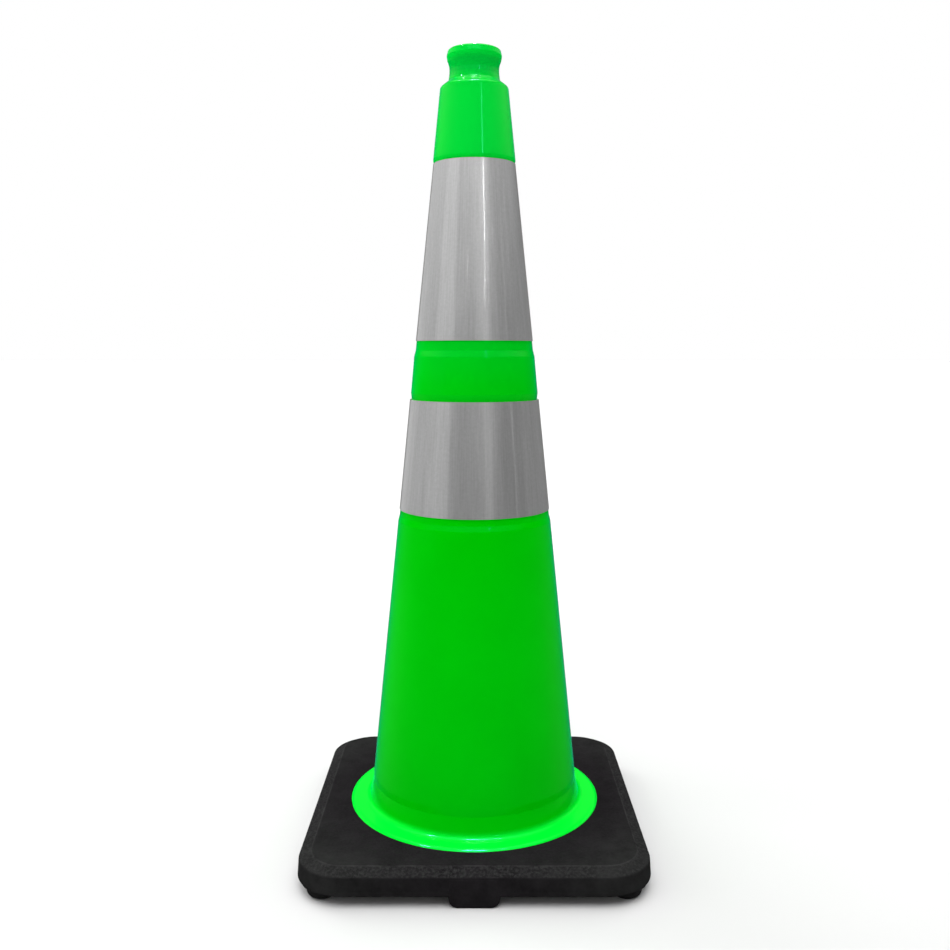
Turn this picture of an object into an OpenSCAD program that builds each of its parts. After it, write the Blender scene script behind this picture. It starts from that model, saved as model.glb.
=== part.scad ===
// Road safety cone: a flexible PVC sleeve moulded through a square weighted base,
// with two reflective collars that sit in shallow recesses of the sleeve.
// Millimetres, +Z up. The origin is the centre of the soles' plane.

/* [Base] */
// Width of the square base at its underside, side to side
base_w = 300.8; // [280:0.1:320]
// How far each side wall leans in from its foot to its top
base_draft = 1.2; // [0.5:0.1:2]
// Plan radius of the base's corners at the underside
base_corner_r = 42; // [34:1:46]
// Height of the base's underside, which is also the feet's height
foot_h = 9.5; // [8:0.5:12]
// Height of the base's side walls, up to where the bevel starts
base_side_top = 25.7; // [24:0.1:27]
// Height of the base's top face
base_top = 30.9; // [30:0.1:32]
// Width of the bevel in plan
base_bevel = 11.7; // [6:0.1:14]
// Radius of the round feet under the corners
corner_foot_r = 12.5; // [10:0.5:14]
// Distance of a corner foot's centre from the base's two centre lines
corner_foot_at = 127; // [122:1:128]
// Rounding of a corner foot's sole
corner_foot_edge = 2; // [1:0.5:4]
// Width of the block feet at the middle of each side
side_foot_w = 42; // [36:1:60]
// Depth of the block feet, inwards from the side wall
side_foot_d = 26; // [20:1:32]
// Rounding of the block feet's lower ends
side_foot_r = 7.5; // [4:0.5:8]

/* [Sleeve] */
// Overall height, soles to top ring
cone_h = 711.2; // [708:0.1:716]
// Outer radius of the sleeve's body just above the ankle
body_bottom_r = 95.5; // [95:0.05:97]
// Outer radius of the sleeve's body below the lower recess
body_top_r = 70.3; // [70:0.05:71.2]
// Outer radius at the bottom of the band between the collars
band_bottom_r = 57.7; // [57.5:0.1:58.2]
// Outer radius at the top of the band between the collars
band_top_r = 54.6; // [54.4:0.1:55.1]
// Outer radius of the head above the upper recess
head_bottom_r = 36.6; // [36.5:0.1:37.2]
// Outer radius of the head under the shoulder
head_top_r = 30.3; // [30:0.1:31]
// Inner radius of the sleeve at the foot of the body
inner_bottom_r = 91.9; // [91.2:0.1:92.4]
// Inner radius of the sleeve under the shoulder
inner_top_r = 27.3; // [26.8:0.1:27.8]
// Outer radius of the foot flange
flange_r = 116.7; // [114:0.1:120]
// How far the flange stands above the base's top face
flange_proud = 1.7; // [1.2:0.1:2]
// How deep the flange is sunk in the base's top face
flange_sunk = 1; // [0.6:0.1:1.4]
// Outer radius of the skirt that passes through the base
skirt_r = 99; // [98.5:0.1:99.5]
// Outer radius of the locking lip under the base
lip_r = 108; // [104:0.5:112]
// Thickness of the locking lip
lip_t = 3; // [2:0.5:4]
// Number of anti-stick ribs inside the body
rib_count = 8; // [4:1:12]
// How far a rib stands off the inner wall
rib_proud = 1.5; // [1:0.1:2]
// Width of a rib
rib_w = 3; // [2:0.5:4]

/* [Head] */
// Radius of the bore through the top
bore_r = 19; // [18:0.1:19.5]
// Outer radius of the top ring
ring_r = 24.3; // [24.2:0.1:25]
// Smallest outer radius of the neck
neck_r = 21.8; // [21.6:0.1:22.4]

/* [Collars] */
// Height of the upper collar's top edge
upper_top = 614.3; // [613.5:0.1:614.3]
// Height of the upper collar's bottom edge
upper_bottom = 459.4; // [458:0.1:464]
// Height of the lower collar's top edge
lower_top = 406.8; // [406:0.1:407]
// Height of the lower collar's bottom edge
lower_bottom = 306.8; // [306:0.1:310]
// Outer radius of the upper collar at its top edge
upper_top_r = 36.5; // [36.3:0.05:36.5]
// Outer radius of the upper collar at its bottom edge
upper_bottom_r = 53.0; // [52.8:0.05:53]
// Outer radius of the lower collar at its top edge
lower_top_r = 58.7; // [58.6:0.05:58.8]
// Outer radius of the lower collar at its bottom edge
lower_bottom_r = 69.1; // [69.05:0.05:69.2]
// Thickness of the white vinyl backing
backing_t = 0.25; // [0.2:0.01:0.25]
// Thickness of the reflective face film
film_t = 0.25; // [0.2:0.01:0.25]
// Thickness of the adhesive tape in the lap seam
tape_t = 0.1; // [0.08:0.01:0.15]
// Length of the lap seam, round the collar
lap_len = 12; // [8:1:16]

/* [Hidden] */
$fn = 96;

// Room between the sleeve's round walls and the base's
fit_gap = 0.1;
base_half = base_w / 2;
flange_top = base_top + flange_proud;
flange_bottom = base_top - flange_sunk;
lip_top = foot_h + lip_t;

// Heights where the sleeve's outside changes
ankle_top = 51;
ankle_bottom = 37.4;
lower_ledge = [296, 301];
band = [412.8, 445.4];
upper_ledge_top = 450.8;
head_bottom = 618;
shoulder_z = 677.8;
neck_z = 694;
ring_bottom = 704.2;

// Outer radii that the zones share
ankle_foot_r = 98.4;
lower_floor_r = [68.9, 57.1];
upper_floor_r = [53.15, 35.55];
shoulder_tilt = 37;

// Inside heights
inner_step = [47, 60];
inner_shoulder = 674;
bore_bottom = 681;
rib_z = [75, 210];

// Points along an arc about [x, z], from angle a to angle b in n steps
function arc(x, z, r, a, b, n) =
    [for (i = [0:n]) let (t = a + (b - a) * i / n) [x + r * cos(t), z + r * sin(t)]];

// Inner radius of the body at height z
function inner_r(z) = inner_top_r + (inner_bottom_r - inner_top_r)
    * (inner_shoulder - z) / (inner_shoulder - inner_step[1]);

// Foot of the sleeve: lip, skirt, flange and ankle
flange_edge = 1;
ankle_fillet = flange_top < ankle_bottom ? ankle_bottom - flange_top : 1;
function foot_outline() = concat(
    [[lip_r, foot_h], [lip_r, lip_top], [skirt_r, lip_top], [skirt_r, flange_bottom],
     [flange_r, flange_bottom]],
    arc(flange_r - flange_edge, flange_top - flange_edge, flange_edge, 0, 90, 4),
    arc(ankle_foot_r + ankle_fillet, ankle_bottom, ankle_fillet, 270, 180, 6));

// Body, recesses and band; each recess ends below at a ramp, and above at the band's chamfer
// or the head's rounded lip. Just above the ankle the body's wall stands upright.
body_upright = 6;
head_lip_r = 4;
function body_outline() = concat(
    [[body_bottom_r, ankle_top], [body_bottom_r - 0.3, ankle_top + body_upright],
     [body_top_r, lower_ledge[0]], [lower_floor_r[0], lower_ledge[1]],
     [lower_floor_r[1], lower_top + 0.4], [band_bottom_r, band[0]],
     [band_top_r, band[1]], [upper_floor_r[0], upper_ledge_top],
     [upper_floor_r[1], upper_top + 0.2]],
    arc(head_bottom_r - head_lip_r, head_bottom - 0.2, head_lip_r, -47, 3, 5));

// Shoulder, neck and ring
shoulder_r = 3.6;
neck_fillet = 2.4;
neck_arc_low = 38;
neck_arc_high = 20;
neck_sweep = 12.5;
neck_foot = [neck_r + neck_arc_low * (1 - cos(neck_sweep)), neck_z - neck_arc_low * sin(neck_sweep)];
ring_edge = 1.8;
function head_outline() = concat(
    arc(head_top_r - shoulder_r, shoulder_z - 0.4, shoulder_r, 6, 90 - shoulder_tilt, 5),
    arc(neck_foot[0] + neck_fillet * cos(neck_sweep), neck_foot[1] + neck_fillet * sin(neck_sweep),
        neck_fillet, 270 - shoulder_tilt, 180 + neck_sweep, 4),
    arc(neck_r + neck_arc_low, neck_z, neck_arc_low, 180 + 0.75 * neck_sweep, 180, 3),
    arc(neck_r + neck_arc_high, neck_z, neck_arc_high, 174, 155, 4),
    [[ring_r - 0.1, ring_bottom - 0.6], [ring_r, ring_bottom]],
    arc(ring_r - ring_edge, cone_h - ring_edge, ring_edge, 0, 90, 5));

// Inside: bore, shoulder, straight taper and stacking step
function inner_outline() =
    [[bore_r + 1, cone_h], [bore_r, cone_h - 1], [bore_r, bore_bottom],
     [inner_top_r - 2, inner_shoulder + 4], [inner_top_r, inner_shoulder],
     [inner_bottom_r, inner_step[1]], [inner_bottom_r + 2.9, inner_step[0]],
     [skirt_r - 2.8, foot_h]];

// One anti-stick rib, standing off the inner wall
module rib() {
    rotate([90, 0, 0])
        linear_extrude(rib_w, center = true)
            polygon([[inner_r(rib_z[0]) + 1, rib_z[0]], [inner_r(rib_z[1]) + 1, rib_z[1]],
                     [inner_r(rib_z[1]), rib_z[1]],
                     [inner_r(rib_z[1] - 6) - rib_proud, rib_z[1] - 6],
                     [inner_r(rib_z[0]) - rib_proud, rib_z[0]]]);
}

module cone_sleeve() {
    color("lime")
        union() {
            rotate_extrude()
                polygon(concat(foot_outline(), body_outline(), head_outline(), inner_outline()));
            for (i = [0:rib_count - 1])
                rotate([0, 0, (i + 0.5) * 360 / rib_count])
                    rib();
        }
}

// Rounded square slab from z0 to z1 whose sides lean from half-width h0 to half-width h1
module slab(z0, z1, h0, h1) {
    core = base_half - base_corner_r;
    for (turn = [0, 90])
        rotate([90, 0, turn])
            linear_extrude(2 * core, center = true)
                polygon([[-h0, z0], [h0, z0], [h1, z1], [-h1, z1]]);
    for (x = [-core, core], y = [-core, core])
        translate([x, y, z0])
            cylinder(h = z1 - z0, r1 = h0 - core, r2 = h1 - core);
}

// Round foot with a rounded sole
module corner_foot() {
    rotate_extrude()
        polygon(concat([[0, foot_h + 1], [0, 0]],
                       arc(corner_foot_r - corner_foot_edge, corner_foot_edge, corner_foot_edge,
                           270, 360, 5),
                       [[corner_foot_r, foot_h + 1]]));
}

// Block foot in line with the side wall, with round lower ends
module side_foot() {
    end = side_foot_w / 2 - side_foot_r;
    translate([0, side_foot_d / 2 - base_half, 0]) {
        translate([-side_foot_w / 2, -side_foot_d / 2, side_foot_r])
            cube([side_foot_w, side_foot_d, foot_h + 1 - side_foot_r]);
        translate([-end, -side_foot_d / 2, 0])
            cube([2 * end, side_foot_d, foot_h + 1]);
        for (x = [-end, end])
            translate([x, 0, side_foot_r])
                rotate([90, 0, 0])
                    cylinder(h = side_foot_d, r = side_foot_r, center = true);
    }
}

module base() {
    color([0.13, 0.13, 0.13])
        difference() {
            union() {
                slab(foot_h, base_side_top, base_half, base_half - base_draft);
                slab(base_side_top, base_top, base_half - base_draft,
                     base_half - base_draft - base_bevel);
                for (x = [-1, 1], y = [-1, 1])
                    translate([x * corner_foot_at, y * corner_foot_at, 0])
                        corner_foot();
                for (turn = [0:90:270])
                    rotate([0, 0, turn])
                        side_foot();
            }
            translate([0, 0, foot_h - 1])
                cylinder(h = base_top - foot_h + 2, r = skirt_r + fit_gap);
            translate([0, 0, foot_h - 1])
                cylinder(h = lip_t + 1, r = lip_r + fit_gap);
            translate([0, 0, flange_bottom])
                cylinder(h = flange_sunk + 1, r = flange_r + fit_gap);
        }
}

// Part of a cone-shaped layer of a collar, in to out measured from the collar's inner face.
// A collar is [top z, bottom z, top inner r, bottom inner r].
module layer(collar, in, out, from, to) {
    rotate([0, 0, from])
        rotate_extrude(angle = to - from)
            polygon([[collar[3] + in, collar[1]], [collar[3] + out, collar[1]],
                     [collar[2] + out, collar[0]], [collar[2] + in, collar[0]]]);
}

upper_collar = [upper_top, upper_bottom,
                upper_top_r - backing_t - film_t, upper_bottom_r - backing_t - film_t];
lower_collar = [lower_top, lower_bottom,
                lower_top_r - backing_t - film_t, lower_bottom_r - backing_t - film_t];

// The lap seam is at the back. The sheet's outer end steps up over its inner end, in a step
// that is the angle jog wide for each layer. The turn and the lap run the angle bite into the
// step, whose faces are all set in by trim, so that the three join into one solid.
seam = 90;
jog = 0.8;
bite = 0.3;
trim = 0.02;
sheet_t = backing_t + film_t;
lap_rise = sheet_t + tape_t;
function lap_angle(collar) = lap_len / (collar[2] + collar[3]) * 360 / PI;

// One layer of the rolled sheet: the turn round the sleeve, the step and the lap.
// in and out are the layer's faces, and the step ends at the angle step_end.
module rolled_layer(collar, in, out, step_end) {
    step = [collar[0] - trim, collar[1] + trim, collar[2], collar[3]];
    layer(collar, in, out, seam, step_end - jog + bite + 360);
    layer(step, in + trim, lap_rise + out - trim, step_end - jog, step_end);
    layer(collar, lap_rise + in, lap_rise + out, step_end - bite, seam + lap_angle(collar));
}

module collar_backing(collar) {
    rolled_layer(collar, 0, backing_t, seam - jog);
}

module collar_film(collar) {
    rolled_layer(collar, backing_t, sheet_t, seam - 2 * jog);
}

module collar_seam_tape(collar) {
    layer(collar, sheet_t, lap_rise, seam, seam + lap_angle(collar));
}

module upper_collar_backing() { color("white") collar_backing(upper_collar); }
module upper_collar_film() { color("silver") collar_film(upper_collar); }
module upper_collar_seam_tape() { color("beige") collar_seam_tape(upper_collar); }
module lower_collar_backing() { color("white") collar_backing(lower_collar); }
module lower_collar_film() { color("silver") collar_film(lower_collar); }
module lower_collar_seam_tape() { color("beige") collar_seam_tape(lower_collar); }

base();
cone_sleeve();
upper_collar_backing();
upper_collar_film();
upper_collar_seam_tape();
lower_collar_backing();
lower_collar_film();
lower_collar_seam_tape();
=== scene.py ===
"""A fluorescent lime traffic cone with two reflective collars on a black base."""

import math

import bpy
import numpy as np
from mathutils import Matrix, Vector


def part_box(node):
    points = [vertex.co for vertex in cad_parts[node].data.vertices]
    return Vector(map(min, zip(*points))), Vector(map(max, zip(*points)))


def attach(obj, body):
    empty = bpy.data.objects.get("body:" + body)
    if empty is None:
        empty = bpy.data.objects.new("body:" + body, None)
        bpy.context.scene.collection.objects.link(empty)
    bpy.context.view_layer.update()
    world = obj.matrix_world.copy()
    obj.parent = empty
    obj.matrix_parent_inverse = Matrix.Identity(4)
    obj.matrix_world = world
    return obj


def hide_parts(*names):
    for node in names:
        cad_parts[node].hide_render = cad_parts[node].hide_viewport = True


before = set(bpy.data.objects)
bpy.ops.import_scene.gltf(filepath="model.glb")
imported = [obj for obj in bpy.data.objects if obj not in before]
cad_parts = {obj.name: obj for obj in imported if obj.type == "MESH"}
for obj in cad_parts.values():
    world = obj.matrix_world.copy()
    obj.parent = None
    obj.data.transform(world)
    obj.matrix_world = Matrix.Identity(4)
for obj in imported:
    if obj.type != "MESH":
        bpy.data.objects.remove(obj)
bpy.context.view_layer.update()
scene = bpy.context.scene

MM = 0.001
AROUND = 200        # grid columns round the cone
TURN_STEP = 6.0     # degrees of an outline's round corner per grid row

# ---------------------------------------------------------------- places taken from the frame, mm


def size_of(node):
    """Lowest and highest corner of a CAD node in millimetres."""
    low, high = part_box(node)
    return np.array(low) / MM, np.array(high) / MM


def radius_at(node, z):
    """Outer radius of a CAD node's ring of vertices nearest to height z, in millimetres."""
    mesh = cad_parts[node].data
    points = np.empty(len(mesh.vertices) * 3)
    mesh.vertices.foreach_get("co", points)
    points = points.reshape(-1, 3) / MM
    nearest = np.abs(points[:, 2] - z).min()
    ring = points[np.abs(points[:, 2] - z) < nearest + 0.01]
    return np.hypot(ring[:, 0], ring[:, 1]).max()


base_low, base_high = size_of("base")
sleeve_low, sleeve_high = size_of("cone_sleeve")
upper_low, upper_high = size_of("upper_collar_film")
lower_low, lower_high = size_of("lower_collar_film")

TOP = sleeve_high[2]
FOOT = sleeve_low[2]             # the base's underside, which the feet stand below
FLANGE_R = sleeve_high[0]
BASE_HALF = base_high[0]
BASE_TOP = base_high[2]

# ---------------------------------------------------------------- mesh helpers


def bend(centre_r, centre_z, radius, start, end):
    """Corners along an arc from angle start to angle end, in degrees, to use in an outline."""
    angle = np.radians(np.linspace(start, end, 2 + int(abs(end - start) / TURN_STEP)))
    return [(centre_r + radius * math.cos(a), centre_z + radius * math.sin(a), 0.0) for a in angle]


def outline(corners):
    """Closed outline through (r, z, fillet) corners. Each corner becomes the arc of its fillet
    radius that touches both sides: it starts and ends fillet / tan(half the corner's angle)
    from the corner, about a centre on the corner's bisector."""
    corners = [np.array(c, float) for c in corners]
    points = []
    for before, here, after in zip(corners[-1:] + corners[:-1], corners, corners[1:] + corners[:1]):
        corner, radius = here[:2], here[2]
        if radius == 0:
            points.append(corner[None])
            continue
        back = before[:2] - corner
        ahead = after[:2] - corner
        room = 0.48 * min(np.hypot(*back), np.hypot(*ahead))
        back /= np.hypot(*back)
        ahead /= np.hypot(*ahead)
        half = math.acos(np.clip(back @ ahead, -1, 1)) / 2
        reach = min(radius / math.tan(half), room)
        radius = reach * math.tan(half)
        middle = (back + ahead) / np.hypot(*(back + ahead))
        centre = corner + middle * radius / math.sin(half)
        turn = math.pi - 2 * half
        count = max(1, math.ceil(math.degrees(turn) / TURN_STEP))
        first = corner + back * reach - centre
        side = np.sign(first[0] * (ahead[1] - back[1]) - first[1] * (ahead[0] - back[0])) or 1.0
        angle = side * turn * np.linspace(0, 1, count + 1)
        points.append(np.stack([
            centre[0] + first[0] * np.cos(angle) - first[1] * np.sin(angle),
            centre[1] + first[0] * np.sin(angle) + first[1] * np.cos(angle)], axis=1))
    return spaced(np.concatenate(points))


def spaced(points, longest=9.0, near_end=0.4):
    """The closed outline with every long side cut into lengths under longest, and with a point
    near_end from each of its ends, so that smooth shading stays true to the straight."""
    rows = []
    for start, end in zip(points, np.roll(points, -1, axis=0)):
        length = np.hypot(*(end - start))
        stops = [0.0]
        if length > 4 * near_end:
            inner = np.linspace(near_end, length - near_end, 2 + int(length / longest))
            stops += list(inner / length)
        rows += [start + (end - start) * stop for stop in stops]
    return np.array(rows)


def turned(profile, columns, centre=(0.0, 0.0)):
    """Grid of points of an (r, z) profile turned once round the upright axis through centre:
    x = cx + r cos t, y = cy + r sin t, z = z."""
    angle = np.linspace(0, 2 * math.pi, columns, endpoint=False)
    radius = profile[:, 0, None]
    height = np.broadcast_to(profile[:, 1, None], (len(profile), columns))
    return np.stack([centre[0] + radius * np.cos(angle), centre[1] + radius * np.sin(angle),
                     height], -1).reshape(-1, 3)


def grid_faces(rows, columns, close_rows, close_columns):
    """Quads of a rows by columns grid of vertices, joined end to start where it closes."""
    row = np.arange(rows if close_rows else rows - 1)[:, None]
    column = np.arange(columns if close_columns else columns - 1)[None, :]
    next_row = (row + 1) % rows
    next_column = (column + 1) % columns
    corners = [row * columns + column, row * columns + next_column,
               next_row * columns + next_column, next_row * columns + column]
    shape = (row.size, column.size)
    return np.stack([np.broadcast_to(c, shape) for c in corners], -1).reshape(-1, 4)


def end_caps(rows, columns):
    """Polygons over the first and the last row of a rows by columns grid of vertices."""
    row = np.arange(columns)
    return [row[::-1], row + columns * (rows - 1)]


def volume(points, faces):
    """Six times the signed volume that a closed set of quads holds."""
    a, b, c, d = (points[faces[:, i]] for i in range(4))
    return np.sum(a * (np.cross(b, c) + np.cross(c, d)))


def piece(name, points, faces, caps=(), sharp=40.0):
    """Mesh object of points in mm and quads, with each cap closed by a polygon. Faces point out."""
    faces = np.asarray(faces)
    if volume(points, faces) < 0:
        faces = faces[:, ::-1]
        caps = [cap[::-1] for cap in caps]
    mesh = bpy.data.meshes.new(name)
    mesh.from_pydata((points * MM).tolist(), [], faces.tolist() + [list(map(int, c)) for c in caps])
    mesh.shade_smooth()
    mesh.set_sharp_from_angle(angle=math.radians(sharp))
    made = bpy.data.objects.new(name, mesh)
    scene.collection.objects.link(made)
    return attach(made, "root")


# ---------------------------------------------------------------- sleeve

# Foot: the lip locks the base from below, the skirt fills its hole, the flange lies in its top
SKIRT_R = 99.0
LIP_R = 108.0
LIP_TOP = FOOT + 3.0
SEAT_Z = BASE_TOP - 1.0
FLANGE_TOP = BASE_TOP + 1.7
FLANGE_ROUND = 5.0

# Outer radii above it, each pair from a zone's foot to its top
ANKLE_R = 95.5
ANKLE_TOP = 51.0
BODY_TOP_R = 70.3
LOWER_FLOOR_R = (68.9, 57.1)     # recess behind the lower collar
BAND_R = (57.7, 54.6)
UPPER_FLOOR_R = (53.15, 35.5)    # recess behind the upper collar
HEAD_R = (36.65, 30.3)
SHOULDER_Z = TOP - 33.8
SHOULDER_ROUND = 3.6

# Neck and ring
NECK_R = 21.8
NECK_Z = TOP - 17.2
NECK_FOOT = (NECK_R + 3.24, NECK_Z - 7.7)     # centre of the fillet on the shoulder
NECK_FILLET = 2.4
NECK_ROUNDS = (38.0, 20.0)       # hollow below and above the narrowest place
RING_R = 24.3
BORE_R = 19.0
BORE_FOOT = TOP - 30.2

# Ends of the inner wall's slope, and the step below it
INNER_TOP = (27.3, TOP - 37.2)
INNER_FOOT = (91.9, 60.0)
INNER_STEP = (94.8, 47.0)
SKIRT_BORE_R = 96.2

sleeve_profile = outline([
    # locking lip, skirt and flange
    (LIP_R, FOOT, 0.6), (LIP_R, LIP_TOP, 0.6), (SKIRT_R, LIP_TOP, 0.4),
    (SKIRT_R, SEAT_Z, 0.3), (FLANGE_R, SEAT_Z, 0.3), (FLANGE_R, BASE_TOP - 0.1, 0.2),
    *bend(FLANGE_R - 4.2, FLANGE_TOP - FLANGE_ROUND, FLANGE_ROUND, 40, 90),
    # ankle, flaring out from the foot of the body
    (ANKLE_R + 3.9, FLANGE_TOP, 5.5), (ANKLE_R, ANKLE_TOP, 1.5),
    (ANKLE_R - 0.3, ANKLE_TOP + 6.0, 12.0),
    # body and the ramp under the lower collar
    (BODY_TOP_R, lower_low[2] - 10.9, 2.5), (LOWER_FLOOR_R[0], lower_low[2] - 5.7, 2.5),
    # band, with a chamfer over the lower collar and a ramp under the upper one
    (LOWER_FLOOR_R[1], lower_high[2] + 0.4, 0.3), (BAND_R[0], lower_high[2] + 6.0, 0.5),
    (BAND_R[1], upper_low[2] - 13.9, 1.8), (UPPER_FLOOR_R[0], upper_low[2] - 8.6, 1.8),
    # head and its lip over the upper collar
    (UPPER_FLOOR_R[1], upper_high[2] + 0.1, 0.3), (HEAD_R[0], upper_high[2] + 2.6, 5.0),
    *bend(HEAD_R[1] - SHOULDER_ROUND, SHOULDER_Z, SHOULDER_ROUND, 6, 53),
    # neck and ring
    *bend(*NECK_FOOT, NECK_FILLET, 233, 195),
    *bend(NECK_R + NECK_ROUNDS[0], NECK_Z, NECK_ROUNDS[0], 191, 180.6),
    *bend(NECK_R + NECK_ROUNDS[1], NECK_Z, NECK_ROUNDS[1], 179, 155),
    (RING_R - 0.35, TOP - 7.0, 0.5), (RING_R, TOP - 5.2, 3.0), (RING_R - 1.2, TOP, 1.9),
    # bore, stacking step, inner slope and skirt
    (BORE_R, TOP, 1.0), (BORE_R, BORE_FOOT, 1.0), (INNER_TOP[0] - 2.0, BORE_FOOT - 3.0, 2.0),
    (*INNER_TOP, 3.0), (*INNER_FOOT, 4.0), (*INNER_STEP, 4.0), (SKIRT_BORE_R, FOOT, 0.6)])
sleeve = piece("sleeve_moulding", turned(sleeve_profile, AROUND),
               grid_faces(len(sleeve_profile), AROUND, True, True))
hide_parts("cone_sleeve")

# ---------------------------------------------------------------- base

CORNER_R = 42.0
DRAFT = 1.2           # how far a side wall leans in from its foot to its top
BEVEL = 11.7
WALL_TOP = BASE_TOP - 5.2
TOP_HALF = BASE_HALF - DRAFT - BEVEL
PLAY = 0.1            # room between the base and the sleeve's round walls
SEAT_R = FLANGE_R + PLAY
SLAB_COLUMNS = 4 * 96


def plan_radius(reach, turn):
    """Distance from the axis, in direction turn, of the base's plan curve that crosses +X at
    reach: a circle out to the flange's seat, then a mix, and from the bevel's top edge a square
    of half-width reach whose corner arcs keep their centres. Along a side the square is
    reach / cos t. In a corner it is k + sqrt(k^2 - 2 c^2 + a^2), with c the arc centre's
    offset, a the arc's radius and k = c (cos t + sin t)."""
    half = np.maximum(reach, TOP_HALF)
    centre = BASE_HALF - CORNER_R
    arc = half - centre
    cosine = np.abs(np.cos(turn))
    sine = np.abs(np.sin(turn))
    large = np.maximum(cosine, sine)
    small = np.minimum(cosine, sine)
    side = half / large
    k = centre * (large + small)
    corner = k + np.sqrt(np.maximum(k * k - 2 * centre * centre + arc * arc, 0))
    square = np.where(side * small <= centre, side, corner)
    mix = np.clip((reach - SEAT_R) / (TOP_HALF - SEAT_R), 0, 1)
    return (1 - mix) * np.minimum(reach, SEAT_R) + mix * square


slab_profile = outline([
    # hole and the flange's seat
    (SKIRT_R + PLAY, LIP_TOP, 0.3), (SKIRT_R + PLAY, SEAT_Z, 0.3), (SEAT_R, SEAT_Z, 0.3),
    # top face, bevel and side wall
    (SEAT_R, BASE_TOP, 0.4), (TOP_HALF, BASE_TOP, 3.0),
    (BASE_HALF - DRAFT, WALL_TOP, 2.0), (BASE_HALF, FOOT, 1.2),
    # counterbore of the locking lip
    (LIP_R + PLAY, FOOT, 0.5), (LIP_R + PLAY, LIP_TOP, 0.3)])
slab_turn = np.linspace(0, 2 * math.pi, SLAB_COLUMNS, endpoint=False)[None, :]
slab_reach = plan_radius(slab_profile[:, 0, None], slab_turn)
slab_height = np.broadcast_to(slab_profile[:, 1, None], slab_reach.shape)
slab_points = np.stack([slab_reach * np.cos(slab_turn), slab_reach * np.sin(slab_turn),
                        slab_height], -1).reshape(-1, 3)
slab = piece("base_moulding", slab_points, grid_faces(len(slab_profile), SLAB_COLUMNS, True, True))
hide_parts("base")


def disc_foot(name, centre, radius=13.2, edge=5.5, top=FOOT + 1, flare=3.5, columns=48):
    """Round foot: a disc of that radius from the soles' plane to inside the slab, revolved from
    a profile whose sole edge is a quarter arc, and which widens where it meets the slab along
    radius + flare s^2, with s from 0 to 1. Its two ends are closed by caps."""
    arc = np.linspace(-math.pi / 2, 0, 13)
    share = np.linspace(0.1, 1, 8)
    sole = np.stack([radius - edge + edge * np.cos(arc), edge + edge * np.sin(arc)], 1)
    rise = np.stack([radius + flare * share ** 2, edge + (top - edge) * share], 1)
    profile = np.concatenate([[[radius * 0.3, 0.0]], sole, rise])
    return piece(name, turned(profile, columns, centre),
                 grid_faces(len(profile), columns, False, True), end_caps(len(profile), columns))


def foot_section(half, low_round, top, inset):
    """Points of a block foot's upright section, drawn in by inset: up one side from the sole,
    whose corners are rounded, past the slab's underside, and down the other."""
    arc = np.linspace(0, math.pi / 2, 9)
    side = half - inset
    tight = low_round - inset
    corner = np.stack([side - tight + tight * np.sin(arc), low_round - tight * np.cos(arc)], 1)
    right = np.concatenate([corner, [[side, FOOT * 0.9], [side, top - inset]]])
    return np.concatenate([right, right[::-1] * [-1, 1]])


def block_foot(name, turn, width=42.0, depth=26.0, low_round=7.5, edge=1.4, top=WALL_TOP - 1.3,
               proud=0.35):
    """Block foot in line with a side wall: a section rounded at its lower corners, carried from
    the wall inwards, and drawn in by edge at both ends along a quarter arc. Its front goes on up
    the wall as a low pad, and leans as the wall does."""
    ease = np.linspace(0, math.pi / 2, 6)
    inset = edge * np.concatenate([1 - np.sin(ease), 1 - np.sin(ease[::-1])])
    start = edge * (1 - np.cos(ease))
    place = np.concatenate([start, depth - start[::-1]])
    section = np.array([foot_section(width / 2, low_round, top, i) for i in inset])
    rows, columns = section.shape[:2]
    across, height = section[..., 0], section[..., 1]
    lean = DRAFT * np.clip((height - FOOT) / (WALL_TOP - FOOT), 0, 1)
    along = place[:, None] + lean - BASE_HALF - proud
    points = np.stack([across * math.cos(turn) - along * math.sin(turn),
                       across * math.sin(turn) + along * math.cos(turn), height], -1)
    return piece(name, points.reshape(-1, 3), grid_faces(rows, columns, False, True),
                 end_caps(rows, columns))


CORNER_FOOT_AT = 127.0
feet = []
for index, (x, y) in enumerate([(-1, -1), (1, -1), (1, 1), (-1, 1)]):
    feet.append(disc_foot(f"corner_foot_{index + 1}", (x * CORNER_FOOT_AT, y * CORNER_FOOT_AT)))
    feet.append(block_foot(f"side_foot_{index + 1}", index * math.pi / 2))
for foot in feet:
    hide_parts("base")

# ---------------------------------------------------------------- ribs


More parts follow.
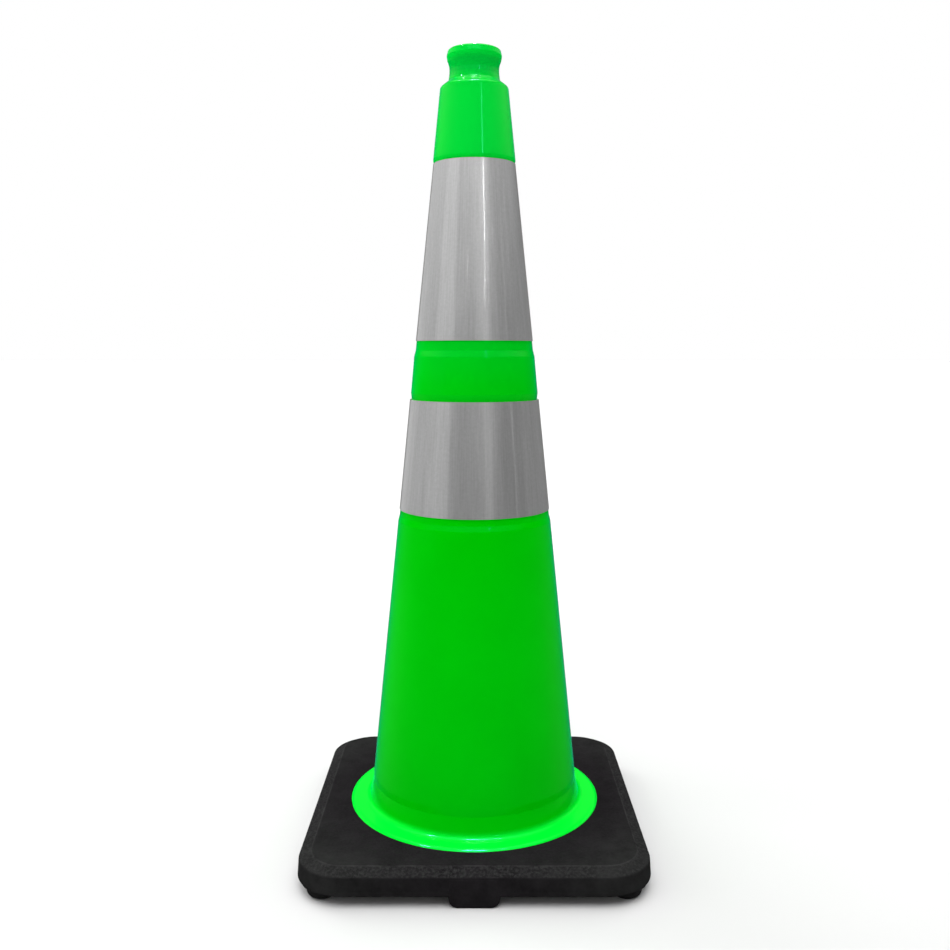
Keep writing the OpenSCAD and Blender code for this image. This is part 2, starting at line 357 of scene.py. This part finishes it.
def rib_shell(name, count=8, width=3.0, proud=1.5, low=75.0, high=210.0, buried=1.0):
    """Anti-stick ribs inside the body. Each is a bar along the inner wall's slope whose section
    is a half ellipse standing proud by the height sin(share)^0.4 at both of its ends, so that
    it runs out smoothly, on a part buried in the wall. It is repeated evenly round the axis."""
    share = np.linspace(0, math.pi, 41)
    height = low + (high - low) * (1 - np.cos(share)) / 2
    wall = np.interp(height, (INNER_FOOT[1], INNER_TOP[1]), (INNER_FOOT[0], INNER_TOP[0]))
    rise = proud * np.sin(share) ** 0.4 + 0.02
    around = np.linspace(0, math.pi, 13)
    half = width / 2
    side = np.concatenate([half * np.cos(around), [-half, half]])
    inward = np.concatenate([np.sin(around), [-1.0, -1.0]])
    depth = np.where(inward >= 0, inward * rise[:, None], -buried)
    turn = (np.arange(count) + 0.5)[:, None, None] * 2 * math.pi / count
    radius = wall[:, None] - depth
    points = np.stack([radius * np.cos(turn) - side * np.sin(turn),
                       radius * np.sin(turn) + side * np.cos(turn),
                       np.broadcast_to(height[:, None], (count, *radius.shape))], -1)
    rows, columns = radius.shape
    faces = grid_faces(rows, columns, False, True)
    first = np.arange(count) * rows * columns
    caps = [cap + at for at in first for cap in end_caps(rows, columns)]
    return piece(name, points.reshape(-1, 3), np.concatenate([faces + at for at in first]), caps)


ribs = rib_shell("anti_stick_ribs")
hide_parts("cone_sleeve")

# ---------------------------------------------------------------- collars

BACKING_T = 0.25
FILM_T = 0.25
TAPE_T = 0.1
LAP_RISE = BACKING_T + FILM_T + TAPE_T
LAP = 12.0
SEAM = math.pi / 2            # the lap starts at the back and runs on over the first turn
RAMP = math.radians(2.4)      # the turn over which the outer end climbs over the inner end
RAMP_END = SEAM + 2 * math.pi - math.radians(0.8)
SHEET_ROWS = 33


def sheet(name, cone, inner, outer, start, end):
    """Rolled layer of a collar. cone is [low z, high z, low r, high r] of the face between the
    backing and the film, and inner and outer are the layer's faces measured from it. The turn
    runs from start to end, and in the RAMP before RAMP_END it climbs to lie LAP_RISE higher.
    Long waves of 0.05 mm, a sum of sines of the turn, are the same for every layer. Its UV map
    is the flat sheet in metres."""
    low_z, high_z, low_r, high_r = cone
    share = np.linspace(0, 1, SHEET_ROWS)
    share = np.concatenate([share, share[::-1]])[:, None]
    rows = len(share)
    offset = np.repeat([outer, inner], SHEET_ROWS)[:, None]
    columns = max(8, round(math.degrees(end - start)))
    angle = np.linspace(start, end, columns)[None, :]
    climb = np.clip((angle - RAMP_END) / RAMP + 1, 0, 1)
    lift = LAP_RISE * climb * climb * (3 - 2 * climb)
    wave = 0.03 * np.sin(7 * angle + 2.2 * share) + 0.02 * np.sin(17 * angle - 3.1 * share)
    radius = low_r + (high_r - low_r) * share + offset + lift + wave
    height = np.broadcast_to(low_z + (high_z - low_z) * share, radius.shape)
    points = np.stack([radius * np.cos(angle), radius * np.sin(angle), height], -1).reshape(-1, 3)
    edge = np.arange(rows) * columns
    made = piece(name, points, grid_faces(rows, columns, True, False),
                 [edge, (edge + columns - 1)[::-1]])
    flat = np.stack(np.broadcast_arrays(angle * (low_r + high_r) / 2, height), -1) * MM
    corner = np.empty(len(made.data.loops), np.int32)
    made.data.loops.foreach_get("vertex_index", corner)
    uv_map = made.data.uv_layers.new(name="sheet")
    uv_map.data.foreach_set("uv", flat.reshape(-1, 2)[corner].astype(np.float32).ravel())
    return made


sheets = {"collar_backing": [], "reflective_film": [], "seam_tape": []}
for collar, low, high in (("upper_collar", upper_low, upper_high),
                          ("lower_collar", lower_low, lower_high)):
    cone = (low[2], high[2], radius_at(collar + "_backing", low[2]) - LAP_RISE,
            radius_at(collar + "_backing", high[2]) - LAP_RISE)
    lap_end = SEAM + LAP * 2 / (cone[2] + cone[3])
    full_end = lap_end + 2 * math.pi
    for part, form, slot, inner, outer, end in (
            ("_backing", "_sheet", "collar_backing", -BACKING_T, 0, full_end),
            ("_film", "_sheet", "reflective_film", 0, FILM_T, full_end),
            ("_seam_tape", "_strip", "seam_tape", FILM_T, FILM_T + TAPE_T, lap_end)):
        made = sheet(collar + part + form, cone, inner, outer, SEAM, end)
        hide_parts(collar + part)
        sheets[slot].append(made)

# ---------------------------------------------------------------- material helpers


def linear(code):
    """Linear RGBA of an sRGB hex colour."""
    srgb = np.array([int(code[i:i + 2], 16) for i in (1, 3, 5)]) / 255
    rgb = np.where(srgb <= 0.04045, srgb / 12.92, ((srgb + 0.055) / 1.055) ** 2.4)
    return (*rgb.tolist(), 1.0)


def grey(level):
    """Neutral RGBA of a linear level."""
    return (level, level, level, 1.0)


def add(tree, kind, inputs=(), **settings):
    """Adds a node with its settings, and gives its inputs values or links."""
    made = tree.nodes.new("ShaderNode" + kind)
    for name, value in settings.items():
        setattr(made, name, value)
    for socket, value in dict(inputs).items():
        if isinstance(value, bpy.types.NodeSocket):
            tree.links.new(value, made.inputs[socket])
        else:
            made.inputs[socket].default_value = value
    return made


def ranged(tree, value, low, high, to_low=0.0, to_high=1.0):
    """Value that goes from to_low to to_high as the given one goes from low to high."""
    return add(tree, "MapRange", {0: value, 1: low, 2: high, 3: to_low, 4: to_high}).outputs[0]


def noise(tree, place, size, detail=2.0, roughness=0.5):
    """Noise from 0 to 1 whose features are about size across."""
    return add(tree, "TexNoise", {"Vector": place, "Scale": 1 / size, "Detail": detail,
                                  "Roughness": roughness}).outputs[0]


def mixed(tree, share, first, second):
    """Colour that goes from first to second as share goes from 0 to 1."""
    return add(tree, "Mix", {0: share, 6: first, 7: second}, data_type="RGBA").outputs[2]


def banded(tree, value, span, stops):
    """Colour ramp over value, which runs through span, with a colour at each stop."""
    low, high = span
    ramp = add(tree, "ValToRGB", {0: ranged(tree, value, low, high)})
    points = ramp.color_ramp.elements
    for _ in stops[2:]:
        points.new(0.5)
    for point, (at, colour) in zip(points, stops):
        point.position = (at - low) / (high - low)
        point.color = colour
    return ramp.outputs[0]


def on_object(tree):
    """Place on the object, in its own coordinates."""
    return add(tree, "TexCoord").outputs["Object"]


def height_of(tree, place):
    """Height of place above the origin."""
    return add(tree, "SeparateXYZ", {0: place}).outputs[2]


def from_middle(tree, place):
    """Distance of place from the origin."""
    return add(tree, "VectorMath", {0: place}, operation="LENGTH").outputs["Value"]


def material(name, **shader):
    """New material with its node tree, its Principled shader with constants set, and the output."""
    made = bpy.data.materials.new(name)
    made.use_nodes = True
    tree = made.node_tree
    tree.nodes.clear()
    principled = add(tree, "BsdfPrincipled", {k.replace("_", " "): v for k, v in shader.items()})
    add(tree, "OutputMaterial", {"Surface": principled.outputs[0]})
    return made, tree, principled


def wire(shader, **sources):
    """Links each source to the shader's input of that name."""
    for name, source in sources.items():
        shader.id_data.links.new(source, shader.inputs[name.replace("_", " ")])


def paint(made, *objects):
    """Gives the material to each object."""
    for thing in objects:
        thing.data.materials.clear()
        thing.data.materials.append(made)


# ---------------------------------------------------------------- materials

# Flexible PVC, rotationally moulded in fluorescent lime: a saturated colour under a soft
# gloss, with faint clouds where the pigment is denser and a skin like fine orange peel.
# Light and shade are painted into the colour by height: a painted highlight makes the thin
# flange brightest, a painted reflection from above makes it cooler and brighter towards the
# top, painted shade darkens the neck under the ring, and the ring is painted lighter again.
# The colour stops are heights in metres.
pvc, tree, shader = material(
    "fluorescent_moulded_pvc", IOR=1.53, Specular_IOR_Level=0.14, Specular_Tint=linear("#58FFE8"),
    Sheen_Weight=0.4, Sheen_Roughness=0.25, Sheen_Tint=linear("#00D0D8"))
place = on_object(tree)
height = height_of(tree, place)
# Painted light and shade by height: brighter flange, cooler and brighter head, darker neck under the
# ring, lighter ring.
pigment_with_painted_light = banded(tree, height, (0.0, TOP * MM), (
    (0.034, linear("#00DE2C")), (0.038, linear("#00BA00")), (0.30, linear("#00BA00")),
    (0.42, linear("#00BA0C")), (0.47, linear("#00BC20")), (0.60, linear("#00C82E")),
    (0.684, linear("#00C82E")), (0.692, linear("#00B434")), (0.702, linear("#00B434")),
    (0.7035, linear("#00CC34"))))
clouds = noise(tree, place, 0.055, detail=3.0)
skin = noise(tree, place, 0.004)
density = ranged(tree, clouds, 0.3, 0.7, 0.97, 1.03)
tone = add(tree, "Mix", {0: 1.0, 6: pigment_with_painted_light, 7: density}, data_type="RGBA", blend_type="MULTIPLY",
           clamp_result=False)
bump = add(tree, "Bump", {"Height": skin, "Strength": 0.06, "Distance": 0.0002})
wire(shader, Base_Color=tone.outputs[2], Roughness=ranged(tree, clouds, 0.3, 0.7, 0.08, 0.11),
     Normal=bump.outputs[0])
paint(pvc, sleeve, ribs)

# Recycled black PVC compound, cast round the sleeve's foot: dull and nearly black, with cloudy
# patches. Painted shade darkens it near the cone, with a magenta cast that offsets the green
# light the cone throws on it, and painted light makes it paler towards the corners. The bevel
# has a coarse pebbled grain and a thin paler line along its upper edge.
rubber, tree, shader = material("cast_recycled_pvc", IOR=1.5, Specular_IOR_Level=0.05, Roughness=0.9)
place = on_object(tree)
height = height_of(tree, place)
wall_z, top_z = WALL_TOP * MM, BASE_TOP * MM
bevel_span = (0.020, 0.0315)
on_bevel = banded(tree, height, bevel_span, (
    (wall_z - 0.0004, grey(0.12)), (wall_z + 0.0003, grey(1.0)),
    (top_z - 0.0008, grey(1.0)), (top_z - 0.0002, grey(0.15))))
# Mask of a thin paler line along the bevel's upper edge, just under the top face.
on_edge = banded(tree, height, bevel_span, (
    (top_z - 0.0009, grey(0.0)), (top_z - 0.0006, grey(1.0)),
    (top_z - 0.0003, grey(1.0)), (top_z - 0.0002, grey(0.0))))
pebbles = noise(tree, place, 0.0024, detail=3.0, roughness=0.6)
speck = ranged(tree, pebbles, 0.42, 0.66)
blotch = ranged(tree, noise(tree, place, 0.022, detail=6.0, roughness=0.65), 0.35, 0.65)
# Painted shade near the cone (inner colours, with a magenta cast) and painted light towards the
# corners (outer colours).
shade_to_light_outwards = ranged(tree, from_middle(tree, place), 0.13, 0.185)
inner = mixed(tree, blotch, linear("#0D090D"), linear("#151115"))
outer = mixed(tree, blotch, linear("#131313"), linear("#202020"))
specked = add(tree, "Math", {0: speck, 1: on_bevel}, operation="MULTIPLY").outputs[0]
pebbled = mixed(tree, specked, mixed(tree, shade_to_light_outwards, inner, outer), linear("#272727"))
paler_edge_line = add(tree, "Math", {0: blotch, 1: on_edge}, operation="MULTIPLY").outputs[0]
bump = add(tree, "Bump", {"Height": pebbles, "Strength": on_bevel, "Distance": 0.0012})
wire(shader, Base_Color=mixed(tree, paler_edge_line, pebbled, linear("#2C2C2C")), Normal=bump.outputs[0])
paint(rubber, slab, *feet)

# Retroreflective sheeting: metallised beads give a flat silver grey, and the clear face over
# them a sharp gloss, drawn out into upright streaks by the rolled sheet's ripples.
film, tree, shader = material("retroreflective_film", Metallic=0.55, Roughness=0.4, Coat_Weight=1.0,
                              Coat_Roughness=0.04, Coat_IOR=1.5)
flat_place = add(tree, "UVMap", uv_map="sheet").outputs[0]
wide = add(tree, "Mapping", {"Vector": flat_place, "Scale": (1 / 0.006, 1 / 0.15, 1.0)})
narrow = add(tree, "Mapping", {"Vector": flat_place, "Scale": (1 / 0.0011, 1 / 0.035, 1.0)})
ripples = noise(tree, wide.outputs[0], 1.0)
creases = noise(tree, narrow.outputs[0], 1.0)
beads = noise(tree, flat_place, 0.003, detail=4.0, roughness=0.7)
streaks = add(tree, "Mix", {0: 0.5, 2: ripples, 3: creases}).outputs[0]
cloudy = add(tree, "Mix", {0: 0.35, 2: streaks, 3: beads}).outputs[0]
bump = add(tree, "Bump", {"Height": ripples, "Strength": 1.0, "Distance": 0.00006})
fine_bump = add(tree, "Bump", {"Height": creases, "Normal": bump.outputs[0], "Strength": 1.0,
                               "Distance": 0.00001})
wire(shader, Coat_Normal=fine_bump.outputs[0],
     Base_Color=mixed(tree, ranged(tree, cloudy, 0.35, 0.65), linear("#8A8A8A"), linear("#9C9C9C")))
paint(film, *sheets["reflective_film"])

# Calendered white vinyl behind the film.
vinyl, tree, shader = material("calendered_white_vinyl", IOR=1.53, Roughness=0.45)
clouds = noise(tree, on_object(tree), 0.02)
wire(shader, Base_Color=mixed(tree, clouds, linear("#D6D6D2"), linear("#E2E2DE")))
paint(vinyl, *sheets["collar_backing"])

# Acrylic adhesive tape in the lap: cloudy, slightly yellow.
tape, tree, shader = material("acrylic_adhesive_tape", IOR=1.48, Roughness=0.35)
clouds = noise(tree, on_object(tree), 0.004)
wire(shader, Base_Color=mixed(tree, clouds, linear("#C9C2A8"), linear("#D8D2BC")))
paint(tape, *sheets["seam_tape"])

# ---------------------------------------------------------------- floor

FLOOR_HALF = 40.0
floor_mesh = bpy.data.meshes.new("studio_floor")
floor_mesh.from_pydata([(x * FLOOR_HALF, y * FLOOR_HALF, 0)
                        for x, y in ((-1, -1), (1, -1), (1, 1), (-1, 1))], [], [(0, 1, 2, 3)])
floor = bpy.data.objects.new("studio_floor", floor_mesh)
scene.collection.objects.link(floor)
floor.visible_glossy = False

# Matt white paper, toned down near the cone, where the lamps light it most.
paper, tree, shader = material("matt_white_floor", Roughness=0.9, Specular_IOR_Level=0.0)
reach = from_middle(tree, on_object(tree))
wire(shader, Base_Color=ranged(tree, reach, 0.5, 4.0, 0.56, 0.8))
paint(paper, floor)

# ---------------------------------------------------------------- lights

AIM = (0, 0, 0.3)
BACK_AIM = (0, 0, 0.4)
MIDDLE_Z = 0.45       # height on the axis from which the panels' edges are told
LOW = -12             # edges, in degrees, of the panels that reach past both collars
HIGH = 40


def softbox(name, place, aim, width, height, power, diffuse=True, glossy=True):
    """Area light of that size in metres at place, turned to face aim."""
    lamp = bpy.data.lights.new(name, "AREA")
    lamp.shape = "RECTANGLE"
    lamp.size = width
    lamp.size_y = height
    lamp.energy = power
    made = bpy.data.objects.new(name, lamp)
    made.location = place
    made.rotation_euler = (Vector(aim) - Vector(place)).to_track_quat("-Z", "Y").to_euler()
    made.visible_camera = False
    made.visible_diffuse = diffuse
    made.visible_glossy = glossy
    scene.collection.objects.link(made)
    return made


def panel(name, left, right, low, high, radiance, only=None, distance=2.6):
    """Upright panel seen only in gloss, and only by the objects of a collection if one is given,
    as a flag keeps a lamp off the rest. Its edges are angles in degrees from the middle of the
    cone: left and right round from the front, positive to the right, and low and high above the
    level. Its power is radiance times pi times its area."""
    turn = math.radians((left + right) / 2)
    width = 2 * distance * math.tan(math.radians(right - left) / 2)
    bottom = distance * math.tan(math.radians(low))
    top = distance * math.tan(math.radians(high))
    middle = MIDDLE_Z + (bottom + top) / 2
    made = softbox(name, (distance * math.sin(turn), -distance * math.cos(turn), middle),
                   (0, 0, middle), width, top - bottom, radiance * math.pi * width * (top - bottom),
                   diffuse=False)
    made.light_linking.receiver_collection = only


collars = bpy.data.collections.new("collars")
for layer in sheets.values():
    for thing in layer:
        collars.objects.link(thing)

softbox("overhead_front", (0.0, -1.6, 2.4), AIM, 2.0, 1.0, 20.0)
softbox("left_key", (-2.2, -0.5, 1.2), BACK_AIM, 1.6, 2.0, 12.7, glossy=False)
softbox("left_back", (-1.8, 1.6, 1.2), BACK_AIM, 1.4, 2.0, 39.0, glossy=False)
softbox("right_back", (1.8, 1.6, 1.2), BACK_AIM, 1.4, 2.0, 13.3, glossy=False)
panel("left_wall", -152, -84, LOW, HIGH, 0.75, collars)
panel("left_window", -82, -40, LOW, HIGH, 1.1, collars)
panel("front_high", -34, 34, 15.5, 27, 0.4, collars)
panel("short_strip", -14.8, -14.1, 16.7, 18.6, 25.0, collars)
panel("right_column", 15, 28, -7, 13, 0.9, collars)
panel("right_edge", 66, 67.5, LOW, HIGH, 2.0, collars)
panel("right_thin", 80, 81.5, 15, HIGH, 2.0, collars)
panel("right_wall", 84, 150, LOW, HIGH, 0.25, collars)
panel("back_wall", 152, 208, LOW, HIGH, 0.25, collars)
panel("high_strip", 22.8, 24.2, 19.5, 30, 30.0)
panel("high_strip_tail", 22.6, 23.2, 15.0, 19.5, 25.0)
softbox("ceiling_spot", (0.0, -0.55, 2.6), AIM, 0.6, 0.16, 140.0, diffuse=False)
softbox("ceiling_left", (-1.08, -0.2, 2.4), AIM, 0.35, 0.12, 45.0, diffuse=False)
softbox("ceiling_right", (0.64, -0.44, 2.5), AIM, 0.16, 0.1, 12.0, diffuse=False)

# ---------------------------------------------------------------- world

SKY = 4.16            # radiance straight up
DIM = 0.2             # share of it that gloss sees behind the cone
SKY_BANDS = ((-1.0, 0.15), (-0.2, 0.15), (0.05, 0.0), (0.2, 0.0), (0.4, 1.14), (0.7, 0.0),
             (1.0, SKY))      # upward part of the direction, radiance

world = bpy.data.worlds.new("studio")
scene.world = world
world.use_nodes = True
tree = world.node_tree
tree.nodes.clear()
axes = add(tree, "SeparateXYZ", {0: add(tree, "TexCoord").outputs["Generated"]})
level = banded(tree, axes.outputs[2], (-1.0, 1.0),
               [(up, grey(radiance / SKY)) for up, radiance in SKY_BANDS])
behind = ranged(tree, axes.outputs[1], 0.3, 0.8, SKY, DIM * SKY)
path = add(tree, "LightPath")
strength = add(tree, "Mix", {0: path.outputs["Is Glossy Ray"], 2: SKY, 3: behind}).outputs[0]
lit = add(tree, "Background", {0: level, 1: strength}).outputs[0]
plain = add(tree, "Background", {0: grey(1.0), 1: 1.0}).outputs[0]
chosen = add(tree, "MixShader", {0: path.outputs["Is Camera Ray"], 1: lit, 2: plain}).outputs[0]
add(tree, "OutputWorld", {0: chosen})

# ---------------------------------------------------------------- camera

camera_data = bpy.data.cameras.new("view")
camera_data.lens = 37.82
camera_data.sensor_width = 36.0
camera = bpy.data.objects.new("view", camera_data)
camera.location = (0.0006, -0.913, 0.451)
camera.rotation_euler = (math.radians(82.88), 0, 0)
scene.collection.objects.link(camera)
scene.camera = camera
scene.view_settings.view_transform = "Standard"
